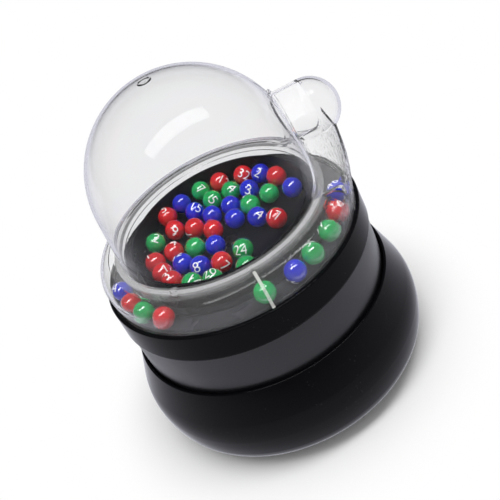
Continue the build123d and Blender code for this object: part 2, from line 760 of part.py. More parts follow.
def chute(inset):
    """Solid of the drop chute under the hood: a bell-shaped outline cut to the bulged wall."""
    half_width = chute_half_width - inset
    flare = hood_fillet + inset
    shelf = roof_top - inset
    outline_bottom = channel_floor + cover_foot_height
    with BuildPart() as bell:
        with BuildSketch(Plane.YZ):
            with BuildLine():
                left = Line((-half_width - flare, outline_bottom), (-half_width - flare, shelf))
                left_sweep = RadiusArc(left @ 1, (-half_width, shelf + flare), -flare)
                left_side = Line(left_sweep @ 1, (-half_width, hood_height))
                crown = RadiusArc(left_side @ 1, (half_width, hood_height), half_width)
                right_side = Line(crown @ 1, (half_width, shelf + flare))
                right_sweep = RadiusArc(right_side @ 1, (half_width + flare, shelf), -flare)
                right = Line(right_sweep @ 1, (half_width + flare, outline_bottom))
                Line(right @ 1, left @ 0)
            make_face()
        extrude(amount=2 * cover_radius)
        with BuildSketch(Plane.XZ, mode=Mode.PRIVATE) as cone_section:
            with BuildLine():
                Polyline((0, outline_bottom), (cover_radius - inset, outline_bottom),
                         (chute_radius - inset, chute_height), (chute_radius - inset, 2 * hood_height),
                         (0, 2 * hood_height), close=True)
            make_face()
        revolve(cone_section.sketch, axis=Axis.Z, mode=Mode.INTERSECT)
        with BuildSketch(Plane.XY, mode=Mode.PRIVATE) as bulge_section:
            with Locations((bulge_centre, 0)):
                Circle(chute_radius - inset - bulge_centre)
        extrude(bulge_section.sketch, amount=2 * hood_height, mode=Mode.INTERSECT)
        outer_edges = bell.edges().filter_by(lambda edge: edge.center().X > bulge_meet - inset)
        brow = outer_edges.filter_by(lambda edge: edge.center().Z > shelf)
        fillet(brow, radius=chute_edge_radius - inset)
    return bell.part


def hood(inset):
    """Solid of the exit hood: a round tunnel out from the dome with a round end."""
    with BuildPart() as tunnel:
        with BuildSketch(hood_axis):
            Circle(hood_radius - inset)
        extrude(amount=hood_centre)
        with Locations((hood_centre, 0, hood_height)):
            Sphere(hood_radius - inset)
    return tunnel.part


# The chute's bulge is a rounder arc that meets the gallery's wall where the bell's foot ends
bell_half_width = chute_half_width + hood_fillet
bulge_meet = sqrt(cover_radius**2 - bell_half_width**2)
bulge_centre = (chute_radius**2 - cover_radius**2) / (2 * (chute_radius - bulge_meet))

cover_skin = gallery_ring(0, channel_floor) + chute(0) + hood(0)
cover_hollow = gallery_ring(cover_wall, channel_floor) + chute(cover_wall) + hood(cover_wall)
dome_room = dome_space(-glue_gap)
rim_skin = (chute(-hood_rim_width) + hood(-hood_rim_width)) & dome_space(-hood_rim_thickness)
rib_skin = gallery_ring(-rib_proud, lip_height + 2 * part_fit)
rib_plate = Rot(0, 0, rib_direction) * Pos(0, -cover_radius, roof_top) * Box(
    rib_width, 2 * (cover_radius - roof_inner_radius), 4 * cover_radius)
rib_solid = rib_skin & rib_plate
with BuildPart() as gallery_cover:
    add(cover_skin)
    add(rib_solid)
    add(rim_skin)
    add(cover_hollow, mode=Mode.SUBTRACT)
    add(dome_room, mode=Mode.SUBTRACT)
    # Thick foot, standing in the ring's lip
    with BuildSketch(Plane.XY.offset(channel_floor)):
        Circle(cover_radius)
        Circle(cover_radius - cover_foot_width, mode=Mode.SUBTRACT)
    extrude(amount=cover_foot_height)
    # Clear of the dome's flange
    with BuildSketch(Plane.XY.offset(channel_floor)):
        Circle(dome_flange_radius + part_fit)
    extrude(amount=dome_flange_bottom + dome_flange_thickness - channel_floor, mode=Mode.SUBTRACT)
    # Lug on the roof beside the dome
    with BuildSketch(Plane.XY.offset(roof_top - cover_wall / 2)):
        with Locations(toward(lug_direction, roof_inner_radius)):
            Circle(lug_radius)
    extrude(amount=cover_wall / 2 + lug_height)
keep(gallery_cover, "gallery_cover", clear)


# ---------------------------------------------------------------- balls

# Balls in the drum, outer row first: share of the way from the axis to the wall, and direction.
drum_red = [(1, 168), (1, 148), (1, 116), (1, -142), (1, -55), (0.955, -71), (0.955, -88),
            (0.776, -130), (0.701, -96), (0.701, 63), (0.612, -19), (0.522, -138), (0.239, -144)]
drum_green = [(1, -176), (1, 3), (1, -37), (1, -21), (0.955, -113), (0.776, 158), (0.746, 109),
              (0.746, 179), (0.537, 10), (0.507, 123), (0.433, -90)]
drum_blue = [(1, 132), (1, -158), (0.985, 92), (0.746, 137), (0.731, -159), (0.687, -69), (0.642, -45),
             (0.507, 157), (0.478, -171), (0.433, 85), (0.254, 138), (0.239, -54)]
# Drawn balls in the gallery: direction of each
gallery_red = [59, -45.5, -70]
gallery_green = [46, 31.5, 4, -58.7]
gallery_blue = [74, 20, -82.7]


def drum_place(share, direction):
    """Centre of a ball lying on the dished turntable, where a share of 1 is against the drum's wall."""
    distance = share * (drum_foot_radius - ball_radius - ball_wall_gap)
    reach = dish_radius - ball_radius - ball_gap
    height = dish_centre_height + dish_radius - sqrt(reach**2 - distance**2)
    return *toward(direction, distance), height


ball_sets = [("red", drum_red, gallery_red, red), ("green", drum_green, gallery_green, green),
             ("blue", drum_blue, gallery_blue, blue)]
for colour, in_drum, in_gallery, shade in ball_sets:
    with BuildPart() as drum_balls:
        with Locations(*[drum_place(*place) for place in in_drum]):
            Sphere(ball_radius)
    keep(drum_balls, f"drum_balls_{colour}", shade)
    with BuildPart() as gallery_balls:
        ball_height = channel_floor + ball_radius + ball_gap
        with Locations(*[(*toward(direction, channel_centre), ball_height) for direction in in_gallery]):
            Sphere(ball_radius)
    keep(gallery_balls, f"gallery_balls_{colour}", shade)
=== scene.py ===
import math
import random

import bmesh
import bpy
from mathutils import Matrix, Vector


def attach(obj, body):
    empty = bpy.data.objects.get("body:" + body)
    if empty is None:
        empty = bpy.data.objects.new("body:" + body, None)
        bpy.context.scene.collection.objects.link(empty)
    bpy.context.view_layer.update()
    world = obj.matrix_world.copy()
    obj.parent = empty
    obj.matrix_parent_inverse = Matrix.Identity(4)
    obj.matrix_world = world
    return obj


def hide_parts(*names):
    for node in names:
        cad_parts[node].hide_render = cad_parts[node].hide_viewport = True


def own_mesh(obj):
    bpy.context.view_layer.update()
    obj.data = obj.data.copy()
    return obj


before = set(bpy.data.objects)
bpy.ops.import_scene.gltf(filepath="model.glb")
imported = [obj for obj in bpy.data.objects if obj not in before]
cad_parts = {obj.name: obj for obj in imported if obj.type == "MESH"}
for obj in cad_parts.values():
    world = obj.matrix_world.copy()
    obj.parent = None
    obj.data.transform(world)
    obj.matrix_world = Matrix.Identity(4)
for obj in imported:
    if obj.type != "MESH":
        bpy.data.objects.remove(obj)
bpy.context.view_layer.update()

# ---------------------------------------------------------------- camera
# The machine stands upright and the camera is rolled instead: it looks down at it from the front,
# a little over 30 cm away, and leans to its right.

camera_place = Vector((0.00958, -0.27438, 0.25882))
camera_aim = Vector((0.00513, 0.00008, 0.06430))
camera_roll = math.radians(28.13)
focal_pixels = 785.6
frame_pixels = 500
camera_data = bpy.data.cameras.new("camera")
camera_data.sensor_width = 36.0
camera_data.lens = focal_pixels / frame_pixels * camera_data.sensor_width
camera_data.clip_start = 0.01
camera = bpy.data.objects.new("camera", camera_data)
bpy.context.scene.collection.objects.link(camera)
level_view = (camera_aim - camera_place).to_track_quat("-Z", "Y").to_matrix()
camera.matrix_world = Matrix.Translation(camera_place) @ (
    level_view @ Matrix.Rotation(-camera_roll, 3, "Z")).to_4x4()
bpy.context.scene.camera = camera

bpy.context.view_layer.update()


# ---------------------------------------------------------------- lower bowl
# The base: one thin bulging shell, injection-moulded in polished black plastic. It stands on the
# plate's feet, and the band slides in its mouth. It carries a little dust and handling haze.

def link(material, source, target):
    """Join two sockets of a material."""
    material.node_tree.links.new(source, target)


def group_socket(group, name, kind, side, value=None):
    """One named input or output of a shader node group."""
    socket = group.interface.new_socket(name=name, in_out=side, socket_type=kind)
    if value is not None:
        socket.default_value = value
    return socket


def make_haze_group():
    """Haze: cloudy handling marks, as a mask from 0 to 1."""
    group = bpy.data.node_groups.new("haze", "ShaderNodeTree")
    group_socket(group, "Place", "NodeSocketVector", "INPUT")
    group_socket(group, "Scale", "NodeSocketFloat", "INPUT", 60.0)
    group_socket(group, "Mask", "NodeSocketFloat", "OUTPUT")
    entry = group.nodes.new("NodeGroupInput")
    exit_node = group.nodes.new("NodeGroupOutput")
    clouds = group.nodes.new("ShaderNodeTexNoise")
    clouds.inputs["Detail"].default_value = 5.0
    clouds.inputs["Roughness"].default_value = 0.6
    spread = group.nodes.new("ShaderNodeMapRange")
    spread.inputs["From Min"].default_value = 0.35
    spread.inputs["From Max"].default_value = 0.7
    group.links.new(entry.outputs["Place"], clouds.inputs["Vector"])
    group.links.new(entry.outputs["Scale"], clouds.inputs["Scale"])
    group.links.new(clouds.outputs["Fac"], spread.inputs["Value"])
    group.links.new(spread.outputs["Result"], exit_node.inputs["Mask"])
    return group


def make_dust_group():
    """Dust: small scattered specks, as a mask from 0 to 1."""
    group = bpy.data.node_groups.new("dust", "ShaderNodeTree")
    group_socket(group, "Place", "NodeSocketVector", "INPUT")
    group_socket(group, "Scale", "NodeSocketFloat", "INPUT", 400.0)
    group_socket(group, "Size", "NodeSocketFloat", "INPUT", 0.12)
    group_socket(group, "Mask", "NodeSocketFloat", "OUTPUT")
    entry = group.nodes.new("NodeGroupInput")
    exit_node = group.nodes.new("NodeGroupOutput")
    cells = group.nodes.new("ShaderNodeTexVoronoi")
    near = group.nodes.new("ShaderNodeMath")
    near.operation = "LESS_THAN"
    clouds = group.nodes.new("ShaderNodeTexNoise")
    clouds.inputs["Scale"].default_value = 90.0
    some = group.nodes.new("ShaderNodeMath")
    some.operation = "GREATER_THAN"
    some.inputs[1].default_value = 0.58
    both = group.nodes.new("ShaderNodeMath")
    both.operation = "MULTIPLY"
    group.links.new(entry.outputs["Place"], cells.inputs["Vector"])
    group.links.new(entry.outputs["Place"], clouds.inputs["Vector"])
    group.links.new(entry.outputs["Scale"], cells.inputs["Scale"])
    group.links.new(cells.outputs["Distance"], near.inputs[0])
    group.links.new(entry.outputs["Size"], near.inputs[1])
    group.links.new(clouds.outputs["Fac"], some.inputs[0])
    group.links.new(near.outputs[0], both.inputs[0])
    group.links.new(some.outputs[0], both.inputs[1])
    group.links.new(both.outputs[0], exit_node.inputs["Mask"])
    return group


haze_group = make_haze_group()
dust_group = make_dust_group()


def new_material(name, colour):
    """A material with its Principled shader, Object coordinates and viewport colour."""
    material = bpy.data.materials.new(name)
    material.use_nodes = True
    material.diffuse_color = (*colour, 1.0)
    shader = material.node_tree.nodes["Principled BSDF"]
    shader.inputs["Base Color"].default_value = (*colour, 1.0)
    place = material.node_tree.nodes.new("ShaderNodeTexCoord").outputs["Object"]
    return material, shader, place


def placed_group(material, group, place, **values):
    """A node group in a material, fed with the place and its own values."""
    node = material.node_tree.nodes.new("ShaderNodeGroup")
    node.node_tree = group
    link(material, place, node.inputs["Place"])
    for name, value in values.items():
        node.inputs[name].default_value = value
    return node.outputs["Mask"]


def blend_colours(material, mask, low, high):
    """Colour that goes from low to high with a mask."""
    mix = material.node_tree.nodes.new("ShaderNodeMix")
    mix.data_type = "RGBA"
    mix.inputs["A"].default_value = (*low, 1.0)
    mix.inputs["B"].default_value = (*high, 1.0)
    link(material, mask, mix.inputs["Factor"])
    return mix.outputs["Result"]


def stretched(material, mask, low, high):
    """Number that goes from low to high with a mask."""
    node = material.node_tree.nodes.new("ShaderNodeMapRange")
    node.inputs["To Min"].default_value = low
    node.inputs["To Max"].default_value = high
    link(material, mask, node.inputs["Value"])
    return node.outputs["Result"]


def bumped(material, place, scale, height):
    """Normal of a finely grained surface, with grains of this height in metres."""
    grain = material.node_tree.nodes.new("ShaderNodeTexNoise")
    grain.inputs["Scale"].default_value = scale
    grain.inputs["Detail"].default_value = 3.0
    link(material, place, grain.inputs["Vector"])
    bump = material.node_tree.nodes.new("ShaderNodeBump")
    bump.inputs["Distance"].default_value = height
    bump.inputs["Strength"].default_value = 1.0
    link(material, grain.outputs["Fac"], bump.inputs["Height"])
    return bump.outputs["Normal"]


def black_plastic(name, colour, dusty, shine, grain_height, specular):
    """Moulded black plastic: its colour, its dust's colour, its least and most roughness, its grain
    and how strongly it mirrors."""
    material, shader, place = new_material(name, colour)
    haze = placed_group(material, haze_group, place, Scale=45.0)
    dust = placed_group(material, dust_group, place, Scale=700.0, Size=0.1)
    link(material, blend_colours(material, dust, colour, dusty), shader.inputs["Base Color"])
    link(material, stretched(material, haze, *shine), shader.inputs["Roughness"])
    link(material, bumped(material, place, 900.0, grain_height), shader.inputs["Normal"])
    shader.inputs["Specular IOR Level"].default_value = specular
    return material


def dress(node, material):
    """Give a CAD node its finish."""
    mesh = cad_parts[node].data
    mesh.materials.clear()
    mesh.materials.append(material)
    for face in mesh.polygons:
        face.material_index = 0


polished_black = black_plastic(
    "polished_black", (0.003, 0.003, 0.004), (0.04, 0.04, 0.04), (0.06, 0.16), 2e-7, 0.11)
dress("lower_bowl", polished_black)


# ---------------------------------------------------------------- press housing
# The band that slides into the base, with its floor and four guide posts: satin black plastic,
# moulded in one piece.

satin_black = black_plastic(
    "satin_black", (0.007, 0.007, 0.009), (0.05, 0.05, 0.05), (0.28, 0.38), 2e-6, 0.50)
dress("press_housing", satin_black)


# ---------------------------------------------------------------- gallery deck
# The glossy black ring with the channel that the drawn balls roll in, moulded in one piece and
# screwed to the housing. The channel's floor is rougher, and painted a lighter grey: a painted
# reflection of the hazy clear roof above it.

ring_black = black_plastic(
    "ring_black", (0.004, 0.004, 0.005), (0.05, 0.05, 0.05), (0.04, 0.10), 2e-7, 0.05)
dress("gallery_deck", ring_black)


def finish_faces(node, material, wanted, enough=all):
    """Another finish for the faces of a CAD node that have all, or any, of their corners where it
    is wanted."""
    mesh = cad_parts[node].data
    mesh.materials.append(material)
    for face in mesh.polygons:
        if enough(wanted(mesh.vertices[index].co) for index in face.vertices):
            face.material_index = len(mesh.materials) - 1


# Painted reflection: the channel's floor is a lighter grey that stands for the hazy roof seen in it
channel_floor_painted_reflection = black_plastic(
    "channel_floor_painted_reflection", (0.030, 0.030, 0.034), (0.085, 0.085, 0.092), (0.20, 0.35), 4e-6, 0.4)
floor_bottom = 0.0748
floor_top = 0.0752
floor_edge = 0.0556
finish_faces("gallery_deck", channel_floor_painted_reflection, lambda corner: floor_bottom < corner.z < floor_top
             and corner.xy.length < floor_edge)


# ---------------------------------------------------------------- drum bowl
# The black moulded drum: a thin wall with a rounded rim, open at the top, and a floor that the
# motor hangs from. It is screwed to the housing.

drum_black = black_plastic(
    "drum_black", (0.005, 0.005, 0.007), (0.10, 0.10, 0.11), (0.20, 0.32), 1e-6, 0.14)
dress("drum_bowl", drum_black)


# ---------------------------------------------------------------- turntable
# The dished black disc under the balls, pushed on the motor's shaft. The balls leave light scuffs
# on it.

scuffed_black = black_plastic(
    "scuffed_black", (0.006, 0.006, 0.009), (0.20, 0.20, 0.21), (0.22, 0.45), 2e-6, 0.12)
dress("turntable", scuffed_black)


# ---------------------------------------------------------------- hub cap
# A small polished black button of moulded plastic, pressed into the middle of the turntable over
# the shaft.

cap_black = black_plastic(
    "cap_black", (0.006, 0.006, 0.007), (0.10, 0.10, 0.10), (0.08, 0.20), 2e-7, 0.4)
dress("hub_cap", cap_black)


# ---------------------------------------------------------------- dome
# The clear dome with its skirt, moulded in polystyrene about 1.2 mm thick. It is faintly grey where
# it is seen through, and has fine wear marks.

def wavy(material, place, scale, height, mask=None):
    """Bump node of a moulded clear surface that is slightly uneven, with waves of this height in
    metres."""
    waves = material.node_tree.nodes.new("ShaderNodeTexNoise")
    waves.inputs["Scale"].default_value = scale
    waves.inputs["Detail"].default_value = 2.0
    link(material, place, waves.inputs["Vector"])
    bump = material.node_tree.nodes.new("ShaderNodeBump")
    bump.inputs["Distance"].default_value = height
    link(material, waves.outputs["Fac"], bump.inputs["Height"])
    if mask is not None:
        link(material, mask, bump.inputs["Strength"])
    return bump


def clear_plastic(name, tint, deep_tint, wear, specular, bending):
    """Clear plastic that lets lamps through, with fine wear marks in its gloss and its own IOR."""
    material, shader, place = new_material(name, tint)
    shader.inputs["Transmission Weight"].default_value = 1.0
    shader.inputs["IOR"].default_value = bending
    shader.inputs["Specular IOR Level"].default_value = specular
    haze = placed_group(material, haze_group, place, Scale=30.0)
    link(material, stretched(material, haze, *wear), shader.inputs["Roughness"])
    link(material, blend_colours(material, haze, tint, deep_tint), shader.inputs["Base Color"])
    nodes = material.node_tree.nodes
    rays = nodes.new("ShaderNodeLightPath")
    open_air = nodes.new("ShaderNodeBsdfTransparent")
    open_air.inputs["Color"].default_value = (0.95, 0.95, 0.95, 1.0)
    passing = nodes.new("ShaderNodeMixShader")
    link(material, rays.outputs["Is Shadow Ray"], passing.inputs[0])
    link(material, shader.outputs["BSDF"], passing.inputs[1])
    link(material, open_air.outputs["BSDF"], passing.inputs[2])
    link(material, passing.outputs["Shader"], nodes["Material Output"].inputs["Surface"])
    return material, shader, place


dome_clear, dome_shader, dome_place = clear_plastic(
    "dome_clear", (0.935, 0.935, 0.94), (0.925, 0.925, 0.93), (0.0, 0.01), 0.32, 1.2)
dome_shader.inputs["Transmission Weight"].default_value = 0.995
dome_waves = wavy(dome_clear, dome_place, 45.0, 8e-6)
link(dome_clear, dome_waves.outputs["Normal"], dome_shader.inputs["Normal"])
dress("dome", dome_clear)

flange_clear, flange_shader, flange_place = clear_plastic(
    "flange_clear", (0.97, 0.97, 0.975), (0.96, 0.96, 0.965), (0.02, 0.08), 0.8, 1.05)
flange_shader.inputs["Transmission Weight"].default_value = 0.93
flange_waves = wavy(flange_clear, flange_place, 200.0, 1e-5)
link(flange_clear, flange_waves.outputs["Normal"], flange_shader.inputs["Normal"])
flange_bottom = 0.0878
flange_top = 0.0905
finish_faces("dome", flange_clear, lambda corner: flange_bottom < corner.z < flange_top)


# ---------------------------------------------------------------- gallery cover
# The clear ring-shaped cover with the exit hood and its drop chute, glued to the dome's flange.
# Its moulded surface is wavy, and finely mottled low down round the chute and the roof near it.

cover_clear, cover_shader, cover_place = clear_plastic(
    "cover_clear", (0.975, 0.975, 0.98), (0.96, 0.96, 0.965), (0.0, 0.02), 0.5, 1.25)
cover_shader.inputs["Transmission Weight"].default_value = 0.975
parts_of_place = cover_clear.node_tree.nodes.new("ShaderNodeSeparateXYZ")
link(cover_clear, cover_place, parts_of_place.inputs["Vector"])
chute_side = cover_clear.node_tree.nodes.new("ShaderNodeMapRange")
chute_side.inputs["From Min"].default_value = 0.026
chute_side.inputs["From Max"].default_value = 0.040
link(cover_clear, parts_of_place.outputs["X"], chute_side.inputs["Value"])
low_down = cover_clear.node_tree.nodes.new("ShaderNodeMapRange")
low_down.inputs["From Min"].default_value = 0.101
low_down.inputs["From Max"].default_value = 0.093
link(cover_clear, parts_of_place.outputs["Z"], low_down.inputs["Value"])
mottled = cover_clear.node_tree.nodes.new("ShaderNodeMath")
mottled.operation = "MULTIPLY"
link(cover_clear, chute_side.outputs["Result"], mottled.inputs[0])
link(cover_clear, low_down.outputs["Result"], mottled.inputs[1])
mottle_bump = wavy(cover_clear, cover_place, 700.0, 3e-4, mottled.outputs[0])
mould_bump = wavy(cover_clear, cover_place, 160.0, 1.5e-5)
link(cover_clear, mould_bump.outputs["Normal"], mottle_bump.inputs["Normal"])
link(cover_clear, mottle_bump.outputs["Normal"], cover_shader.inputs["Normal"])
dress("gallery_cover", cover_clear)

hood_clear, hood_shader, hood_place = clear_plastic(
    "hood_clear", (0.95, 0.95, 0.955), (0.94, 0.94, 0.945), (0.0, 0.02), 0.8, 1.2)
hood_waves = wavy(hood_clear, hood_place, 160.0, 2e-5)
link(hood_clear, hood_waves.outputs["Normal"], hood_shader.inputs["Normal"])
hood_height = 0.1116
hood_radius = 0.01245
hood_start = 0.043
finish_faces("gallery_cover", hood_clear, lambda corner: corner.x > hood_start and math.hypot(
    corner.y, corner.z - hood_height) < hood_radius)

roof_inner_edge = 0.0470
roof_bottom = 0.0880
finish_faces("gallery_cover", flange_clear, lambda corner: corner.z > roof_bottom
             and corner.xy.length < roof_inner_edge, any)

# The rib on the outside is made rough, whitish, a little yellow and half opaque: a painted highlight
# for the light lines along it
rib_painted_highlight, rib_shader = clear_plastic(
    "rib_painted_highlight", (0.96, 0.955, 0.92), (0.90, 0.89, 0.84), (0.25, 0.4), 0.8, 1.3)[:2]
rib_shader.inputs["Transmission Weight"].default_value = 0.5
rib_direction = math.radians(4.0)
rib_half_width = 0.00062
rib_start = 0.04895


def on_rib(corner):
    """Whether a corner of the cover lies on its rib."""
    sideways = corner.x * math.cos(rib_direction) + corner.y * math.sin(rib_direction)
    return corner.y < 0 and corner.xy.length > rib_start and abs(sideways) < rib_half_width


finish_faces("gallery_cover", rib_painted_highlight, on_rib)

# Painted light: the cover's foot is made whitish and partly opaque, for the light that gathers in it
foot_painted_glow, foot_shader = clear_plastic(
    "foot_painted_glow", (0.95, 0.95, 0.955), (0.80, 0.80, 0.81), (0.2, 0.35), 0.8, 1.3)[:2]
foot_shader.inputs["Transmission Weight"].default_value = 0.35
foot_top = 0.07645
foot_start = 0.05525
finish_faces("gallery_cover", foot_painted_glow, lambda corner: corner.z < foot_top
             and corner.xy.length > foot_start)


# ---------------------------------------------------------------- drum balls and gallery balls
# Small polished plastic balls, 9 mm across, in red, green and blue: loose in the drum, and drawn
# ones in the gallery. Their pigment is a little cloudy.

def ball_plastic(name, colour, deep):
    """Polished coloured plastic with slightly uneven pigment."""
    material, shader, place = new_material(name, colour)
    haze = placed_group(material, haze_group, place, Scale=120.0)
    link(material, blend_colours(material, haze, colour, deep), shader.inputs["Base Color"])
    link(material, stretched(material, haze, 0.05, 0.10), shader.inputs["Roughness"])
    link(material, bumped(material, place, 500.0, 1e-6), shader.inputs["Normal"])
    shader.inputs["Specular IOR Level"].default_value = 0.8
    shader.inputs["Coat Weight"].default_value = 1.0
    shader.inputs["Coat Roughness"].default_value = 0.03
    shader.inputs["Coat IOR"].default_value = 1.8
    return material


ball_colours = {
    "red": ((0.56, 0.008, 0.014), (0.44, 0.005, 0.009)),
    "green": ((0.006, 0.34, 0.085), (0.004, 0.27, 0.06)),
    "blue": ((0.006, 0.014, 0.50), (0.004, 0.009, 0.38)),
}
for colour_name, (colour, deep) in ball_colours.items():
    ball_material = ball_plastic(f"ball_{colour_name}", colour, deep)
    dress(f"drum_balls_{colour_name}", ball_material)
    dress(f"gallery_balls_{colour_name}", ball_material)


# ---------------------------------------------------------------- ball numbers
# Each ball has a number printed on it in thick white ink. Where the picture shows a number it faces
# the same way here, and the other balls lie at random.

ball_radius = 0.0045
digit_height = 0.0048
digit_lift = 0.00002
ink_thickness = 0.00004
longest_edge = 0.0006
# Numbers seen: distance from the axis in mm, direction in degrees from the front towards the hood,
# number, turn in the picture, and how far it sits right of and above the ball's middle
seen_numbers = {
    "red": [(33.5, 148, "32", 22, 0.1, 0.1), (26, -130, "9", 12, 0.0, -0.1),
            (20.5, -19, "7", 40, 0.35, -0.35), (33.5, 168, "12", 35, 0.55, 0.15),
            (20.5, 63, "17", 10, -0.3, 0.4)],
    "green": [(25, 179, "5", 55, 0.1, 0.0), (33.5, -37, "14", 30, 0.2, 0.35),
              (33.5, -113, "2", 15, 0.1, 0.6), (33.5, -176, "7", 40, 0.0, 0.2),
              (26, 158, "4", 45, 0.1, 0.3)],
    "blue": [(25, 137, "3", 18, -0.1, 0.0), (14.5, 85, "4", 35, 0.2, 0.3),
             (21.5, -45, "8", -25, -0.4, -0.1), (33.5, 132, "2", 30, -0.3, 0.1),
             (25, -159, "15", 20, 0.1, 0.6)],
}
nearest_seen = 0.003               # a seen number belongs to the ball this near to its place
digit_share = 0.72                 # height of a digit as a share of the text's size
subdivisions = 4
dice = random.Random(27)

view_right = camera.matrix_world.to_3x3() @ Vector((1, 0, 0))
view_up = camera.matrix_world.to_3x3() @ Vector((0, 1, 0))


def ball_centres(node):
    """Centre of each loose ball in a CAD node."""
    shape = bmesh.new()
    shape.from_mesh(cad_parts[node].data)
    waiting = set(shape.verts)
    centres = []
    while waiting:
        start = waiting.pop()
        reached = [start]
        front = [start]
        while front:
            vertex = front.pop()
            for edge in vertex.link_edges:
                neighbour = edge.other_vert(vertex)
                if neighbour in waiting:
                    waiting.remove(neighbour)
                    reached.append(neighbour)
                    front.append(neighbour)
        low = Vector(min(vertex.co[axis] for vertex in reached) for axis in range(3))
        high = Vector(max(vertex.co[axis] for vertex in reached) for axis in range(3))
        centres.append((low + high) / 2)
    shape.free()
    return sorted(centres, key=lambda centre: (round(centre.x, 4), round(centre.y, 4)))


def number_turn(centre, turn, right, above):
    """Rotation that shows a number to the camera, turned clockwise and off the ball's middle."""
    towards = (camera_place - centre).normalized()
    facing = (towards + right * view_right + above * view_up).normalized()
    lean = math.radians(turn)
    upward = math.cos(lean) * view_up + math.sin(lean) * view_right
    across = upward.cross(facing).normalized()
    upward = facing.cross(across)
    return Matrix((across, upward, facing)).transposed()


def random_turn():
    """Rotation with no favoured direction."""
    axis = Vector((dice.gauss(0, 1), dice.gauss(0, 1), dice.gauss(0, 1))).normalized()
    return Matrix.Rotation(dice.uniform(0, 2 * math.pi), 3, axis)


def print_number(text, centre, turn):
    """A number as a thin layer of ink on a ball."""
    bpy.ops.object.select_all(action="DESELECT")
    bpy.ops.object.text_add()
    number = bpy.context.object
    number.data.body = text
    number.data.size = digit_height / digit_share
    number.data.align_x = "CENTER"
    number.data.align_y = "CENTER"
    number.data.resolution_u = 4
    number.data.offset = -0.01 * digit_height
    bpy.ops.object.convert(target="MESH")
    shape = bmesh.new()
    shape.from_mesh(number.data)
    for _ in range(subdivisions):
        long_edges = [edge for edge in shape.edges if edge.calc_length() > longest_edge]
        if not long_edges:
            break
        bmesh.ops.subdivide_edges(shape, edges=long_edges, cuts=1)
        bmesh.ops.triangulate(shape, faces=shape.faces[:])
    low = min(vertex.co.y for vertex in shape.verts)
    high = max(vertex.co.y for vertex in shape.verts)
    for vertex in shape.verts:
        vertex.co.y -= (low + high) / 2
        vertex.co.z = ball_radius
    shape.to_mesh(number.data)
    shape.free()
    wrap = number.modifiers.new("wrap", "CAST")
    wrap.cast_type = "SPHERE"
    wrap.use_radius_as_size = False
    wrap.size = ball_radius + digit_lift
    wrap.factor = 1.0
    bpy.ops.object.modifier_apply(modifier="wrap")
    layer = number.modifiers.new("layer", "SOLIDIFY")
    layer.thickness = ink_thickness
    layer.offset = 1.0
    bpy.ops.object.modifier_apply(modifier="layer")
    number.data.transform(Matrix.Translation(centre) @ turn.to_4x4())
    return number


def number_ink():
    """Thick white printing ink, worn a little thin in places."""
    material, shader, place = new_material("number_ink", (0.85, 0.85, 0.85))
    haze = placed_group(material, haze_group, place, Scale=500.0)
    ink_colour = blend_colours(material, haze, (0.88, 0.88, 0.88), (0.74, 0.74, 0.75))
    link(material, ink_colour, shader.inputs["Base Color"])
    link(material, stretched(material, haze, 0.30, 0.45), shader.inputs["Roughness"])
    return material


def print_numbers(node, body, colour_name, next_number):
    """All numbers of one CAD node's balls, as one piece."""
    printed = []
    for centre in ball_centres(node):
        text = str(next_number)
        turn = random_turn()
        for distance, direction, seen_text, lean, right, above in seen_numbers[colour_name]:
            bearing = math.radians(direction)
            seen = Vector((distance * math.sin(bearing), -distance * math.cos(bearing))) / 1000
            if (seen - centre.xy).length < nearest_seen and body == "drum_floor":
                text = seen_text
                turn = number_turn(centre, lean, right, above)
        next_number += 1
        printed.append(print_number(text, centre, turn))
    bpy.ops.object.select_all(action="DESELECT")
    for number in printed:
        number.select_set(True)
    bpy.context.view_layer.objects.active = printed[0]
    bpy.ops.object.join()
    piece = bpy.context.object
    piece.name = f"numbers_{node}"
    piece.data.materials.clear()
    piece.data.materials.append(ink)
    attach(piece, body)
    return next_number


ink = number_ink()
next_free = 1
for colour_name in ball_colours:
    next_free = print_numbers(f"drum_balls_{colour_name}", "drum_floor", colour_name, next_free)
    next_free = print_numbers(f"gallery_balls_{colour_name}", "top", colour_name, next_free)


# ---------------------------------------------------------------- motor, shaft, bush and clamp
# A small direct-current motor in the cup under the drum: a drawn and plated steel can, a ground
# steel shaft, a turned brass bush, and a black moulded clamp.

def metal(name, colour, dull, shine, grain_scale, grain_height):
    """Bare or plated metal: its two tones, its least and most roughness and its grain."""
    material, shader, place = new_material(name, colour)
    haze = placed_group(material, haze_group, place, Scale=150.0)
    link(material, blend_colours(material, haze, colour, dull), shader.inputs["Base Color"])
    link(material, stretched(material, haze, *shine), shader.inputs["Roughness"])
    link(material, bumped(material, place, grain_scale, grain_height), shader.inputs["Normal"])
    shader.inputs["Metallic"].default_value = 1.0
    return material


can_steel = metal("can_steel", (0.62, 0.62, 0.63), (0.48, 0.48, 0.50), (0.22, 0.38), 900.0, 2e-6)
ground_steel = metal("ground_steel", (0.70, 0.70, 0.71), (0.60, 0.60, 0.62), (0.12, 0.22), 2500.0, 1e-6)
bush_brass = metal("bush_brass", (0.72, 0.50, 0.20), (0.55, 0.36, 0.14), (0.20, 0.36), 1500.0, 2e-6)
hidden_black = black_plastic(
    "hidden_black", (0.015, 0.015, 0.016), (0.05, 0.05, 0.05), (0.45, 0.60), 4e-6, 0.4)
dress("motor", can_steel)
dress("motor_shaft", ground_steel)
dress("shaft_bush", bush_brass)
dress("motor_clamp", hidden_black)


# ---------------------------------------------------------------- screws and washers
# Zinc-plated self-tapping screws with crossed heads, all of one size, and the plated washers that
# hold the guide posts.

zinc_plate = metal("zinc_plate", (0.60, 0.61, 0.63), (0.44, 0.45, 0.48), (0.26, 0.44), 1800.0, 3e-6)
for screw_node in ("base_screws", "guide_screws", "deck_screws", "drum_screws", "motor_screws",
                   "guide_washers"):
    dress(screw_node, zinc_plate)
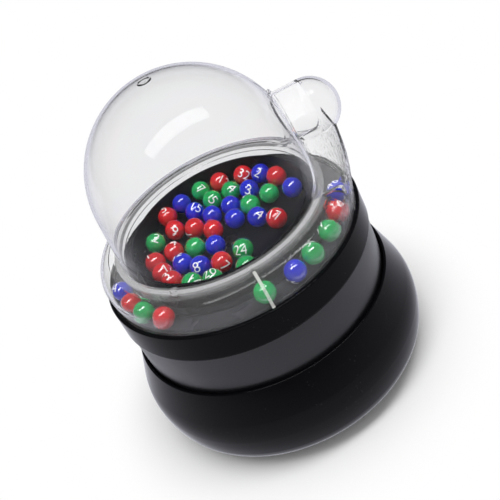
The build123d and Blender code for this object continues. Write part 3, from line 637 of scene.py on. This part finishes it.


# ---------------------------------------------------------------- return springs
# Four coil springs of bright drawn wire, wound cold, one round each guide post.

spring_wire = metal("spring_wire", (0.66, 0.66, 0.67), (0.50, 0.50, 0.52), (0.16, 0.28), 3000.0, 2e-6)
spring_count = 4
spring_circle = 0.038
spring_start = math.radians(22.5)
spring_bottom = 0.026
spring_top = 0.036
spring_radius = 0.00400
spring_wire_radius = 0.0004
spring_turns = 5
turn_steps = 28
wire_sides = 10

spring_shape = bmesh.new()
for spring_index in range(spring_count):
    bearing = spring_start + spring_index * math.tau / spring_count
    spring_axis = Vector((spring_circle * math.cos(bearing), spring_circle * math.sin(bearing), 0))
    spring_rise = spring_top - spring_bottom - 2 * spring_wire_radius
    wire_rings = []
    for step in range(spring_turns * turn_steps + 1):
        angle = bearing + step * math.tau / turn_steps
        outward = Vector((math.cos(angle), math.sin(angle), 0))
        height = spring_bottom + spring_wire_radius + spring_rise * step / (spring_turns * turn_steps)
        middle = spring_axis + outward * spring_radius + Vector((0, 0, height))
        wire_rings.append([spring_shape.verts.new(
            middle + outward * spring_wire_radius * math.cos(side * math.tau / wire_sides)
            + Vector((0, 0, spring_wire_radius * math.sin(side * math.tau / wire_sides))))
            for side in range(wire_sides)])
    for ring, next_ring in zip(wire_rings, wire_rings[1:]):
        for side in range(wire_sides):
            following = (side + 1) % wire_sides
            spring_shape.faces.new((ring[side], ring[following], next_ring[following], next_ring[side]))
    spring_shape.faces.new(wire_rings[0])
    spring_shape.faces.new(wire_rings[-1])
bmesh.ops.recalc_face_normals(spring_shape, faces=spring_shape.faces)
spring_mesh = bpy.data.meshes.new("coil_springs")
spring_shape.to_mesh(spring_mesh)
spring_shape.free()
spring_mesh.shade_smooth()
spring_mesh.materials.append(spring_wire)
coil_springs = bpy.data.objects.new("coil_springs", spring_mesh)
bpy.context.scene.collection.objects.link(coil_springs)
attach(coil_springs, "base")
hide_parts("return_springs")
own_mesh(coil_springs)


# ---------------------------------------------------------------- base plate
# The black moulded plate that closes the base, with the four guide tubes and the door's opening.
# It is screwed up into the base.

plate_black = black_plastic(
    "plate_black", (0.013, 0.013, 0.014), (0.07, 0.07, 0.07), (0.42, 0.58), 6e-6, 0.4)
dress("base_plate", plate_black)


# ---------------------------------------------------------------- feet
# Four soft rubber pads, moulded and stuck under the plate. They are matt and a little dusty, so
# the same recipe as for the plastics serves with more roughness.

foot_rubber = black_plastic(
    "foot_rubber", (0.022, 0.022, 0.022), (0.16, 0.15, 0.14), (0.72, 0.88), 1.5e-5, 0.3)
dress("base_feet", foot_rubber)


# ---------------------------------------------------------------- battery box, door and contacts
# A black moulded box on the plate, the door clipped in the plate's opening, and nickel-plated
# spring contacts.

dress("battery_box", hidden_black)
dress("battery_door", plate_black)
nickel = metal("nickel", (0.66, 0.64, 0.60), (0.52, 0.50, 0.46), (0.20, 0.34), 1400.0, 2e-6)
dress("battery_contacts", nickel)


# ---------------------------------------------------------------- batteries
# Three AA cells side by side in the box, in a plain film jacket of two colours shrunk on the
# steel can.

def cell_jacket():
    """Film jacket that is dark for most of a cell's length and copper-coloured towards the ends."""
    material, shader, place = new_material("cell_jacket", (0.03, 0.03, 0.035))
    parts = material.node_tree.nodes.new("ShaderNodeSeparateXYZ")
    link(material, place, parts.inputs["Vector"])
    ends = material.node_tree.nodes.new("ShaderNodeMath")
    ends.operation = "ABSOLUTE"
    link(material, parts.outputs["X"], ends.inputs[0])
    band = material.node_tree.nodes.new("ShaderNodeMapRange")
    band.inputs["From Min"].default_value = 0.0150
    band.inputs["From Max"].default_value = 0.0152
    link(material, ends.outputs[0], band.inputs["Value"])
    tone = blend_colours(material, band.outputs["Result"], (0.025, 0.025, 0.03), (0.52, 0.27, 0.11))
    link(material, tone, shader.inputs["Base Color"])
    haze = placed_group(material, haze_group, place, Scale=90.0)
    link(material, stretched(material, haze, 0.20, 0.34), shader.inputs["Roughness"])
    return material


dress("batteries", cell_jacket())


# ---------------------------------------------------------------- start switch and plunger
# A small black push switch on the battery box, with a white moulded plunger under the housing's
# post.

def white_moulding():
    """White moulded plastic, a little yellowed."""
    material, shader, place = new_material("white_moulding", (0.72, 0.71, 0.68))
    haze = placed_group(material, haze_group, place, Scale=200.0)
    moulding_colour = blend_colours(material, haze, (0.74, 0.73, 0.70), (0.66, 0.64, 0.59))
    link(material, moulding_colour, shader.inputs["Base Color"])
    link(material, stretched(material, haze, 0.30, 0.42), shader.inputs["Roughness"])
    return material


dress("start_switch", hidden_black)
dress("switch_plunger", white_moulding())


# ---------------------------------------------------------------- floor
# Pale studio paper on a table. Near the object it is lit and keeps the object's shadow, and
# further off it fades to white. In reflections it is bright near by, behind and to the left.

bpy.ops.object.select_all(action="DESELECT")
bpy.ops.mesh.primitive_circle_add(vertices=96, radius=6.0, fill_type="NGON", location=(0, 0, -0.0002))
floor = bpy.context.object
floor.name = "floor"
floor_material = bpy.data.materials.new("floor_paper")
floor_material.use_nodes = True
floor_nodes = floor_material.node_tree.nodes
floor_shader = floor_nodes["Principled BSDF"]
floor_shader.inputs["Base Color"].default_value = (0.9, 0.9, 0.9, 1.0)
floor_shader.inputs["Roughness"].default_value = 0.9
floor_shader.inputs["Specular IOR Level"].default_value = 0.0
floor_place = floor_nodes.new("ShaderNodeTexCoord").outputs["Object"]
floor_reach = floor_nodes.new("ShaderNodeVectorMath")
floor_reach.operation = "LENGTH"
link(floor_material, floor_place, floor_reach.inputs[0])
floor_fade = floor_nodes.new("ShaderNodeMapRange")
floor_fade.interpolation_type = "SMOOTHSTEP"
floor_fade.inputs["From Min"].default_value = 0.060
floor_fade.inputs["From Max"].default_value = 0.100
link(floor_material, floor_reach.outputs["Value"], floor_fade.inputs["Value"])


def ray_kinds(material):
    """Masks of what is seen straight or through clear plastic, and of what is seen in a reflection."""
    nodes = material.node_tree.nodes
    rays = nodes.new("ShaderNodeLightPath")

    def worked(operation, first, second):
        node = nodes.new("ShaderNodeMath")
        node.operation = operation
        node.use_clamp = True
        for index, value in enumerate((first, second)):
            if isinstance(value, float):
                node.inputs[index].default_value = value
            else:
                link(material, value, node.inputs[index])
        return node.outputs[0]

    straight = worked("MAXIMUM", rays.outputs["Is Camera Ray"], rays.outputs["Is Transmission Ray"])
    bounced = worked("ADD", rays.outputs["Glossy Depth"], rays.outputs["Diffuse Depth"])
    seen = worked("SUBTRACT", straight, bounced)
    unseen_gloss = worked("SUBTRACT", rays.outputs["Is Glossy Ray"], seen)
    softened = worked("GREATER_THAN", rays.outputs["Diffuse Depth"], 0.5)
    reflected = worked("SUBTRACT", unseen_gloss, softened)
    return seen, reflected


floor_seen, floor_reflected = ray_kinds(floor_material)
floor_white = floor_nodes.new("ShaderNodeMath")
floor_white.operation = "MULTIPLY"
link(floor_material, floor_seen, floor_white.inputs[0])
link(floor_material, floor_fade.outputs["Result"], floor_white.inputs[1])
paper_glow = floor_nodes.new("ShaderNodeEmission")
paper_mix = floor_nodes.new("ShaderNodeMixShader")
link(floor_material, floor_white.outputs[0], paper_mix.inputs[0])
link(floor_material, floor_shader.outputs["BSDF"], paper_mix.inputs[1])
link(floor_material, paper_glow.outputs["Emission"], paper_mix.inputs[2])
near_level = floor_nodes.new("ShaderNodeMapRange")
near_level.inputs["From Min"].default_value = 0.15
near_level.inputs["From Max"].default_value = 0.50
near_level.inputs["To Min"].default_value = 0.90
near_level.inputs["To Max"].default_value = 0.08
link(floor_material, floor_reach.outputs["Value"], near_level.inputs["Value"])
floor_bearing = floor_nodes.new("ShaderNodeVectorMath")
floor_bearing.operation = "NORMALIZE"
link(floor_material, floor_place, floor_bearing.inputs[0])
floor_parts = floor_nodes.new("ShaderNodeSeparateXYZ")
link(floor_material, floor_bearing.outputs["Vector"], floor_parts.inputs["Vector"])
left_level = floor_nodes.new("ShaderNodeMapRange")
left_level.inputs["From Min"].default_value = -0.60
left_level.inputs["From Max"].default_value = -0.98
left_level.inputs["To Max"].default_value = 0.5
link(floor_material, floor_parts.outputs["X"], left_level.inputs["Value"])
back_level = floor_nodes.new("ShaderNodeMapRange")
back_level.inputs["From Min"].default_value = 0.10
back_level.inputs["From Max"].default_value = 0.50
back_level.inputs["To Max"].default_value = 0.8
link(floor_material, floor_parts.outputs["Y"], back_level.inputs["Value"])
side_level = floor_nodes.new("ShaderNodeMath")
side_level.operation = "MAXIMUM"
link(floor_material, left_level.outputs["Result"], side_level.inputs[0])
link(floor_material, back_level.outputs["Result"], side_level.inputs[1])
dim_level = floor_nodes.new("ShaderNodeMath")
dim_level.operation = "MAXIMUM"
link(floor_material, near_level.outputs["Result"], dim_level.inputs[0])
link(floor_material, side_level.outputs[0], dim_level.inputs[1])
dim_glow = floor_nodes.new("ShaderNodeEmission")
dim_glow.inputs["Color"].default_value = (0.90, 0.90, 1.0, 1.0)
link(floor_material, dim_level.outputs[0], dim_glow.inputs["Strength"])
dim_mix = floor_nodes.new("ShaderNodeMixShader")
link(floor_material, floor_reflected, dim_mix.inputs[0])
link(floor_material, paper_mix.outputs["Shader"], dim_mix.inputs[1])
link(floor_material, dim_glow.outputs["Emission"], dim_mix.inputs[2])
link(floor_material, dim_mix.outputs["Shader"], floor_nodes["Material Output"].inputs["Surface"])
floor.data.materials.append(floor_material)


# ---------------------------------------------------------------- surroundings
# The studio's walls and ceiling: white where the camera looks at them straight or through clear
# plastic, dim in reflections, and a soft even light on the object.

world = bpy.data.worlds.new("studio")
bpy.context.scene.world = world
world.use_nodes = True
sky = world.node_tree.nodes["Background"]
sky.inputs["Color"].default_value = (1.0, 1.0, 1.0, 1.0)
sky_seen, sky_is_reflected = ray_kinds(world)
sky_reflected = world.node_tree.nodes.new("ShaderNodeMapRange")
sky_reflected.inputs["To Min"].default_value = 0.62
sky_reflected.inputs["To Max"].default_value = 0.12
link(world, sky_is_reflected, sky_reflected.inputs["Value"])
sky_level = world.node_tree.nodes.new("ShaderNodeMapRange")
sky_level.inputs["To Max"].default_value = 1.0
link(world, sky_seen, sky_level.inputs["Value"])
link(world, sky_reflected.outputs["Result"], sky_level.inputs["To Min"])
link(world, sky_level.outputs["Result"], sky.inputs["Strength"])


# ---------------------------------------------------------------- softbox
# The only lamp: one long softbox overhead, with a cloth grid in front. Its bright bar shows in the
# dome and on each ball.

softbox_aim = Vector((0.0, 0.0, 0.10))
softbox_direction = Vector((0.06, -0.22, 0.97)).normalized()
softbox_distance = 0.9
softbox_length = 1.2
softbox_width = 0.24
softbox_power = 7.0
grid_cells = (22.0, 5.0, 1.0)
grid_line = 0.25
grid_shade = 0.40
cell_glow = 1.3
softbox_data = bpy.data.lights.new("softbox", "AREA")
softbox_data.shape = "RECTANGLE"
softbox_data.size = softbox_length
softbox_data.size_y = softbox_width
softbox_data.energy = softbox_power
softbox_data.use_nodes = True
grid_nodes = softbox_data.node_tree.nodes
grid_place = grid_nodes.new("ShaderNodeNewGeometry")
grid_scaled = grid_nodes.new("ShaderNodeVectorMath")
grid_scaled.operation = "MULTIPLY"
grid_scaled.inputs[1].default_value = grid_cells
link(softbox_data, grid_place.outputs["Parametric"], grid_scaled.inputs[0])
grid_cell = grid_nodes.new("ShaderNodeVectorMath")
grid_cell.operation = "FRACTION"
link(softbox_data, grid_scaled.outputs["Vector"], grid_cell.inputs[0])
grid_parts = grid_nodes.new("ShaderNodeSeparateXYZ")
link(softbox_data, grid_cell.outputs["Vector"], grid_parts.inputs["Vector"])
grid_least = grid_nodes.new("ShaderNodeMath")
grid_least.operation = "MINIMUM"
link(softbox_data, grid_parts.outputs["X"], grid_least.inputs[0])
link(softbox_data, grid_parts.outputs["Y"], grid_least.inputs[1])
grid_open = grid_nodes.new("ShaderNodeMath")
grid_open.operation = "GREATER_THAN"
grid_open.inputs[1].default_value = grid_line
link(softbox_data, grid_least.outputs[0], grid_open.inputs[0])
grid_level = grid_nodes.new("ShaderNodeMapRange")
grid_level.inputs["To Min"].default_value = grid_shade
grid_level.inputs["To Max"].default_value = cell_glow
link(softbox_data, grid_open.outputs[0], grid_level.inputs["Value"])
link(softbox_data, grid_level.outputs["Result"], grid_nodes["Emission"].inputs["Strength"])
softbox = bpy.data.objects.new("softbox", softbox_data)
softbox.location = softbox_aim + softbox_distance * softbox_direction
softbox.rotation_euler = (-softbox_direction).to_track_quat("-Z", "Y").to_euler()
bpy.context.scene.collection.objects.link(softbox)

bpy.context.scene.view_settings.view_transform = "Standard"
